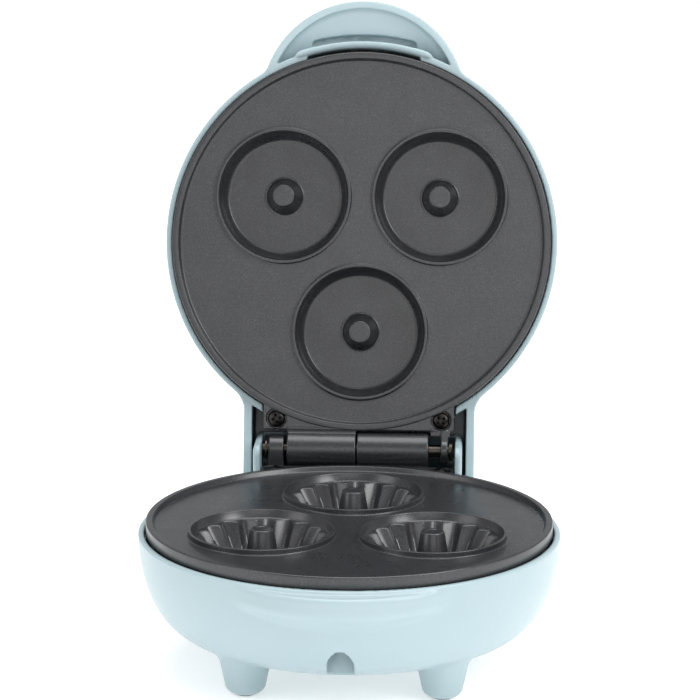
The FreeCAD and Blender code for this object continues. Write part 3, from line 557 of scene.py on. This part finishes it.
def lower_well(net, x, y):
    """Ring, conical lip, fluted wall, floor and centre post; returns the ring's outer loop."""
    loops = [well_circle(net, radius, height, x, y) for radius, height in ring_profile(0.2)]
    lip = rounded((20.42, -2.2), (20.6, -1.85), (20.3, -2.25), 2)
    loops += [well_circle(net, radius, height, x, y) for radius, height in lip]
    loops.append(flute_loop(net, x, y, 20.22, FLUTE_DEPTH - 0.22, -2.27))
    loops.append(flute_loop(net, x, y, 20.12, FLUTE_DEPTH - 0.04, -2.38))
    steps = 8
    for i in range(steps + 1):
        t = i / steps
        height = -2.6 - 8.9 * t
        loops.append(flute_loop(net, x, y, 20.0 - 5.6 * t, FLUTE_DEPTH * (1 - 0.5 * t ** 1.5), height))
    loops.append(flute_loop(net, x, y, 13.75, 0.95, -12.2))
    loops.append(flute_loop(net, x, y, 12.9, 0.6, -12.7))
    loops.append(flute_loop(net, x, y, 11.9, 0.25, -12.95))
    post = [(11.2, -13.0), (7.4, -13.0)] + rounded((6.0, -13.0), (6.9, -13.0), (5.68, -12.0))
    post += rounded((3.52, 0.4), (3.6, 0.0), (3.15, 0.4))
    post += [(2.75, 0.4)] + rounded((2.4, 0.4), (2.6, 0.38), (2.2, 0.22), 2)
    loops += [well_circle(net, radius, height, x, y) for radius, height in post]
    net.bands(loops)
    net.flat([loops[-1]])
    return loops[0]


def upper_well(net, x, y):
    """Ring, plain wall, floor and centre post; returns the ring's outer loop."""
    profile = ring_profile(-0.2)
    profile += [(21.15, -2.0), (21.0, -4.4), (20.6, -6.2), (19.9, -7.6), (19.1, -8.5)]
    profile += rounded((18.5, -9.0), (18.7, -8.85), (18.2, -9.0), 2)
    profile += [(17.8, -9.0), (7.2, -9.0)] + rounded((6.0, -9.0), (6.7, -9.0), (5.6, -8.3))
    profile += rounded((3.48, -0.4), (3.6, -0.8), (3.1, -0.4)) + [(2.7, -0.4)]
    loops = [well_circle(net, radius, height, x, y) for radius, height in profile]
    net.bands(loops)
    net.flat([loops[-1]])
    return loops[0]


def cup_back(net, x, y, bottom_r, depth, top_r=22.3):
    """The outside of a well or boss under the plate; returns its upper loop."""
    steps = 96 if top_r > 10 else 40
    profile = [(top_r, -PLATE_SIDE), (bottom_r + 0.6, -depth + 0.6)]
    profile += rounded((bottom_r, -depth), profile[-1], (bottom_r - 0.9, -depth), 3)
    first, last = net.turned(profile, x, y, steps)
    net.flat([last])
    return first


def plate_mesh(name, well, cups, place):
    """A plate's dish: rim, floor, three wells, and the back with its cups and bosses."""
    net = Net()
    floor = -PLATE_RECESS
    centres = [(WELL_PITCH_R * math.cos(math.radians(a)), WELL_PITCH_R * math.sin(math.radians(a)))
               for a in WELL_ANGLES]
    side = [(60.8, -PLATE_SIDE)]
    side += rounded((PLATE_R, -PLATE_SIDE), (61.6, -PLATE_SIDE), (PLATE_R, -PLATE_SIDE + 0.4))
    side += rounded((PLATE_R, 0), (PLATE_R, -0.5), (61.5, 0)) + rounded((59.95, 0), (60.35, 0), (59.86, -0.35))
    side += rounded((59.4, floor), (59.5, floor + 0.5), (58.8, floor)) + [(58.3, floor)]
    back_edge, floor_edge = net.turned(side)
    net.flat([floor_edge] + [well(net, x, y) for x, y in centres])
    net.flat([back_edge] + [cup_back(net, *cup) for cup in cups(centres)])
    return net.mesh(name, place)


def lower_cups(centres):
    return [(x, y, 15.8, 15.2) for x, y in centres] + [(0, 0, 4.4, 16.8, 4.5), (0, PILLAR_Y, 4.1, 13.0, 4.2)]


def upper_cups(centres):
    return [(x, y, 20.4, 11.2) for x, y in centres] + [(0, 0, 4.4, 13.7, 4.5)]


def rim_plane(z, up):
    """Carries heights above a plate's rim plane into the base frame; up is -1 where the rim faces down."""
    return Matrix.Translation((0, 0, z)) @ Matrix.Diagonal((1, 1, up, 1))


def make_plates():
    lower = merged("lower_plate_casting", [
        plate_mesh("dish", lower_well, lower_cups, BASE @ rim_plane(LOWER_RIM_Z, 1)),
        moulded("tab", lower_tab, (-33, 50, 38), (33, 76, 55), 0.4, 0.4, BASE)])
    upper = merged("upper_plate_casting", [
        plate_mesh("dish", upper_well, upper_cups, LID @ rim_plane(UPPER_RIM_Z, -1)),
        moulded("tab", upper_tab, (-33, 50, 40), (33, 76, 55), 0.4, 0.4, LID),
        moulded("tongue", front_tongue, (-18.5, -65.5, 46), (18.5, -55, 56), 0.4, 0.4, LID)])
    return [placed("lower_plate_casting", lower, "base", "lower_plate"),
            placed("upper_plate_casting", upper, "lid", "upper_plate")]


def inside_shroud(x, y, z):
    """True for the faces of the lid's hinge shroud that look into its hollow; these get the painted shadow."""
    return (np.abs(x) < 36.0) & (y > 58.0) & (z > LID_EDGE_Z + 0.8) & (about_pin(y, z, 1) < 12.0)


def inside_cradle(x, y, z):
    """True for the faces of the base's hinge cradle that look into its hollow; these get the painted shadow."""
    return (np.abs(x) < 31.2) & (y > 57.5) & (z > 30.0) & (about_pin(y, z, -1) < 8.2)


def shade_hollow(mesh, place, chosen):
    """Gives the faces of a moulding's hinge hollow the material in slot 1, a dark plastic that is painted
    shadow.
    """
    centres = np.empty(3 * len(mesh.polygons))
    mesh.polygons.foreach_get("center", centres)
    turn = np.array(place.inverted())
    points = centres.reshape(-1, 3) @ turn[:3, :3].T + turn[:3, 3]
    mesh.polygons.foreach_set("material_index", chosen(*points.T).astype(np.int32))


def make_shells():
    lower = moulded("base_shell", lower_shell, (-66, -80, -2), (66, 82, 53), 0.6, 0.4, BASE)
    upper = moulded("lid_shell", upper_shell, (-66, -80, 46), (66, 84, 81), 0.6, 0.4, LID)
    return [placed("base_shell", lower, "base", "lower_housing"),
            placed("lid_shell", upper, "lid", "upper_housing")]


def make_screws():
    """The four plate screws, each with its cross recess at an angle of its own."""
    lower_z = LOWER_RIM_Z - TAB_STEP - 1.18
    upper_z = UPPER_RIM_Z + TAB_STEP + 1.18
    facing_down = Matrix.Rotation(math.pi, 4, "X")
    pairs = []
    for name, body, node, place, y, z, length, turns, way in (
            ("lower_plate_screw_pair", "base", "lower_plate_screws", BASE, LOWER_SCREW_Y, lower_z, 8.5,
             (0.5, 1.1), Matrix()),
            ("upper_plate_screw_pair", "lid", "upper_plate_screws", LID, UPPER_SCREW_Y, upper_z, 9.0,
             (0.25, 0.7), facing_down)):
        meshes = []
        for side, turn in zip((-1, 1), turns):
            seat = place @ Matrix.Translation((side * SCREW_X, y, z)) @ way
            meshes.append(moulded(name, cross_screw(length, turn), (-3.4, -3.4, -length - 0.6), (3.4, 3.4, 2.4),
                                  0.13, 0.5, seat))
        pairs.append(placed(name, merged(name, meshes), body, node))
    return pairs


# --- materials ------------------------------------------------------------------------------------
def start_material(name, roughness, metallic=0.0, specular=0.5, coat=0.0, coat_roughness=0.1):
    material = bpy.data.materials.new(name)
    material.use_nodes = True
    shader = material.node_tree.nodes["Principled BSDF"]
    shader.inputs["Roughness"].default_value = roughness
    shader.inputs["Metallic"].default_value = metallic
    shader.inputs["Specular IOR Level"].default_value = specular
    shader.inputs["Coat Weight"].default_value = coat
    shader.inputs["Coat Roughness"].default_value = coat_roughness
    return material, material.node_tree, shader


def noise(tree, scale, detail=2.0, stretch=None):
    """Noise in the object's own space; scale is in cycles per metre."""
    where = tree.nodes.new("ShaderNodeTexCoord").outputs["Object"]
    if stretch:
        mapping = tree.nodes.new("ShaderNodeMapping")
        mapping.inputs["Scale"].default_value = stretch
        tree.links.new(where, mapping.inputs["Vector"])
        where = mapping.outputs["Vector"]
    texture = tree.nodes.new("ShaderNodeTexNoise")
    texture.inputs["Scale"].default_value = scale
    texture.inputs["Detail"].default_value = detail
    tree.links.new(where, texture.inputs["Vector"])
    return texture.outputs["Fac"]


def ramp(tree, value, *stops):
    """Maps a value to colours, or to greys where a stop holds one number."""
    node = tree.nodes.new("ShaderNodeValToRGB")
    elements = node.color_ramp.elements
    while len(elements) < len(stops):
        elements.new(0.5)
    for element, (position, colour) in zip(elements, stops):
        element.position = position
        element.color = (*colour, 1.0) if isinstance(colour, tuple) else (colour, colour, colour, 1.0)
    tree.links.new(value, node.inputs["Fac"])
    return node.outputs["Color"]


def summed(tree, first, second):
    """The sum of two colours."""
    node = tree.nodes.new("ShaderNodeMix")
    node.data_type = "RGBA"
    node.blend_type = "ADD"
    node.inputs["Factor"].default_value = 1.0
    tree.links.new(first, node.inputs[6])
    tree.links.new(second, node.inputs[7])
    return node.outputs[2]


def bump(tree, shader, height, strength, distance):
    node = tree.nodes.new("ShaderNodeBump")
    node.inputs["Strength"].default_value = strength
    node.inputs["Distance"].default_value = distance
    tree.links.new(height, node.inputs["Height"])
    tree.links.new(node.outputs["Normal"], shader.inputs["Normal"])


def housing_plastic(name, dark, light):
    """Moulded plastic, semi-gloss, with a faint orange peel: pale aqua for the housings, and dark teal as
    painted shadow in the hinge hollows.
    """
    material, tree, shader = start_material(name, 0.36, coat=0.12, coat_roughness=0.2)
    shader.inputs["Subsurface Weight"].default_value = 0.05
    shader.inputs["Subsurface Radius"].default_value = (0.5, 0.9, 1.0)
    shader.inputs["Subsurface Scale"].default_value = 0.0015
    cloud = noise(tree, 38.0, 3.0)
    colour = ramp(tree, cloud, (0.3, dark), (0.7, light))
    tree.links.new(colour, shader.inputs["Base Color"])
    peel = noise(tree, 420.0, 1.0)
    tree.links.new(ramp(tree, peel, (0.3, 0.34), (0.7, 0.39)), shader.inputs["Roughness"])
    bump(tree, shader, peel, 0.03, 0.00003)
    return material


def non_stick():
    """Dark grey cast aluminium with a speckled non-stick coating."""
    material, tree, shader = start_material("non_stick_coating", 0.3, metallic=0.1, specular=0.8)
    grain = noise(tree, 2000.0, 3.0)
    speck = noise(tree, 3100.0, 2.0)
    ground = ramp(tree, grain, (0.34, (0.010, 0.0105, 0.0125)), (0.66, (0.026, 0.027, 0.031)))
    flecks = ramp(tree, speck, (0.54, (0.0, 0.0, 0.0)), (0.70, (0.034, 0.034, 0.036)))
    tree.links.new(summed(tree, ground, flecks), shader.inputs["Base Color"])
    worn = noise(tree, 120.0, 4.0)
    tree.links.new(ramp(tree, worn, (0.3, 0.26), (0.7, 0.32)), shader.inputs["Roughness"])
    bump(tree, shader, grain, 0.12, 0.00004)
    return material


def metal(name, dark, light, roughness, stretch=None):
    """Bare or plated metal with drawn or tumbled grain."""
    material, tree, shader = start_material(name, roughness, metallic=1.0)
    grain = noise(tree, 700.0, 3.0, stretch)
    tree.links.new(ramp(tree, grain, (0.3, dark), (0.7, light)), shader.inputs["Base Color"])
    wear = ramp(tree, grain, (0.3, roughness - 0.06), (0.7, roughness + 0.08))
    tree.links.new(wear, shader.inputs["Roughness"])
    bump(tree, shader, grain, 0.1, 0.00003)
    return material


def matt(name, dark, light, roughness):
    """Moulded rubber, resin, ceramic or lacquer with a fine grain."""
    material, tree, shader = start_material(name, roughness)
    grain = noise(tree, 900.0, 4.0)
    tree.links.new(ramp(tree, grain, (0.3, dark), (0.7, light)), shader.inputs["Base Color"])
    bump(tree, shader, grain, 0.3, 0.00005)
    return material


def tinted_lens(name, deep, pale):
    """Translucent coloured lens, a little cloudy inside."""
    material, tree, shader = start_material(name, 0.12, coat=0.6, coat_roughness=0.04)
    shader.inputs["Transmission Weight"].default_value = 0.35
    cloud = noise(tree, 450.0, 2.0)
    tree.links.new(ramp(tree, cloud, (0.3, deep), (0.7, pale)), shader.inputs["Base Color"])
    bump(tree, shader, cloud, 0.05, 0.00003)
    return material


def clothe(objects, material):
    for item in objects:
        item.data.materials.clear()
        item.data.materials.append(material)


def dress(plates, shells, screws):
    """Gives every piece and every CAD node its material; painted_shadow_plastic stands in for deep shadow."""
    nodes = frame["nodes"]
    clothe(plates + [nodes["lower_plate"], nodes["upper_plate"]], non_stick())
    plastic = housing_plastic("aqua_plastic", (0.346, 0.450, 0.482), (0.358, 0.462, 0.494))
    clothe(shells + [nodes["lower_housing"], nodes["upper_housing"]], plastic)
    # Dark teal plastic on the hinge hollows' faces: painted shadow, not a colour of the real plastic.
    painted_shadow_plastic = housing_plastic("painted_shadow_plastic", (0.030, 0.050, 0.060), (0.042, 0.066, 0.078))
    for shell, place, chosen in zip(shells, (BASE, LID), (inside_cradle, inside_shroud)):
        shell.data.materials.append(painted_shadow_plastic)
        shade_hollow(shell.data, place, chosen)
    black_steel = metal("blackened_steel", (0.012, 0.012, 0.012), (0.045, 0.043, 0.04), 0.32)
    black_nodes = [nodes[name] for name in ("lower_plate_screws", "upper_plate_screws", "front_screw")]
    clothe(screws + black_nodes, black_steel)
    finishes = [
        (metal("bright_zinc", (0.55, 0.55, 0.53), (0.75, 0.75, 0.72), 0.28),
         ("lower_shield_screw", "upper_shield_screw", "terminal_block_screws", "lamp_board_screws")),
        (metal("pin_steel", (0.045, 0.040, 0.035), (0.10, 0.088, 0.075), 0.3, stretch=(0.1, 1.0, 1.0)),
         ("hinge_pin", "hinge_pin_clip")),
        (metal("element_sheath", (0.20, 0.17, 0.14), (0.34, 0.31, 0.27), 0.45),
         ("lower_heating_element", "upper_heating_element")),
        (metal("rolled_sheet", (0.48, 0.49, 0.50), (0.66, 0.67, 0.68), 0.36, stretch=(1.0, 0.08, 1.0)),
         ("lower_element_clips", "upper_element_clips", "lower_heat_shield", "upper_heat_shield",
          "thermal_fuse_clip")),
        (matt("pad_rubber", (0.035, 0.035, 0.036), (0.06, 0.06, 0.062), 0.75), ("foot_pads",)),
        (matt("gland_rubber", (0.02, 0.02, 0.021), (0.035, 0.035, 0.036), 0.55), ("cord_gland",)),
        (matt("phenolic_resin", (0.09, 0.05, 0.03), (0.14, 0.085, 0.05), 0.45), ("thermostat",)),
        (matt("fuse_lacquer", (0.52, 0.50, 0.46), (0.66, 0.64, 0.60), 0.4), ("thermal_fuse",)),
        (matt("block_nylon", (0.62, 0.61, 0.56), (0.72, 0.71, 0.66), 0.5), ("terminal_block",)),
        (matt("board_laminate", (0.16, 0.22, 0.07), (0.24, 0.30, 0.11), 0.5), ("lamp_board",)),
        (tinted_lens("red_lens", (0.45, 0.02, 0.015), (0.62, 0.05, 0.03)), ("power_lens",)),
        (tinted_lens("green_lens", (0.02, 0.30, 0.08), (0.05, 0.45, 0.14)), ("ready_lens",)),
        (tinted_lens("lamp_glass", (0.62, 0.56, 0.48), (0.78, 0.72, 0.64)), ("indicator_lamps",)),
    ]
    for material, names in finishes:
        clothe([nodes[name] for name in names], material)


# --- stage ----------------------------------------------------------------------------------------
def make_floor():
    """A plain pale studio floor, its surface just under the rubber feet."""
    reach = 6.0
    work = bmesh.new()
    corners = [work.verts.new((x, y, -0.00002)) for x, y in
               ((-reach, -reach), (reach, -reach), (reach, reach), (-reach, reach))]
    work.faces.new(corners)
    mesh = bpy.data.meshes.new("studio_floor")
    work.to_mesh(mesh)
    work.free()
    floor = bpy.data.objects.new("studio_floor", mesh)
    bpy.context.scene.collection.objects.link(floor)
    material, tree, shader = start_material("pale_floor", 0.6, specular=0.2)
    shader.inputs["Emission Color"].default_value = (1.0, 1.0, 1.0, 1.0)
    shader.inputs["Emission Strength"].default_value = 0.42
    tree.links.new(ramp(tree, noise(tree, 3.0), (0.3, 0.90), (0.7, 0.92)), shader.inputs["Base Color"])
    clothe([floor], material)


def area_light(name, place, target, size, power):
    data = bpy.data.lights.new(name, "AREA")
    data.shape = "RECTANGLE"
    data.size, data.size_y = size
    data.energy = power
    light = bpy.data.objects.new(name, data)
    light.location = place
    light.rotation_euler = (Vector(target) - Vector(place)).to_track_quat("-Z", "Y").to_euler()
    bpy.context.scene.collection.objects.link(light)


def make_lights():
    middle = (0.0, 0.0, 0.09)
    area_light("top_softbox", (0.1, 0.1, 1.5), middle, (1.5, 1.2), 20.5)
    area_light("right_softbox", (1.15, -0.75, 0.95), middle, (0.7, 0.8), 11.5)
    area_light("left_softbox", (-1.35, -0.8, 0.7), middle, (0.9, 1.2), 6.0)
    area_light("front_softbox", (0.3, -1.9, 0.7), middle, (1.4, 0.8), 4.5)
    world = bpy.data.worlds.new("studio")
    world.use_nodes = True
    world.node_tree.nodes["Background"].inputs["Color"].default_value = (1.0, 1.0, 1.0, 1.0)
    world.node_tree.nodes["Background"].inputs["Strength"].default_value = 0.5
    bpy.context.scene.world = world


def make_camera():
    """The eye, 0.83 m in front of the plates' axis and a little above the open lid's top."""
    data = bpy.data.cameras.new("camera")
    data.sensor_width = 36.0
    data.lens = 144.55
    data.clip_start = 0.05
    data.clip_end = 50.0
    camera = bpy.data.objects.new("camera", data)
    camera.location = (0.035063, -0.851979, 0.282343)
    yaw, pitch, roll = (math.radians(angle) for angle in (2.435, 12.643, 0.241))
    tilt = Matrix.Rotation(math.pi / 2 - pitch, 4, "X")
    turn = Matrix.Rotation(yaw, 4, "Z") @ tilt @ Matrix.Rotation(roll, 4, "Z")
    camera.rotation_euler = turn.to_euler()
    bpy.context.scene.collection.objects.link(camera)
    bpy.context.scene.camera = camera


make_camera()
make_floor()
make_lights()
bpy.context.scene.view_settings.view_transform = "Standard"
dress(make_plates(), make_shells(), make_screws())
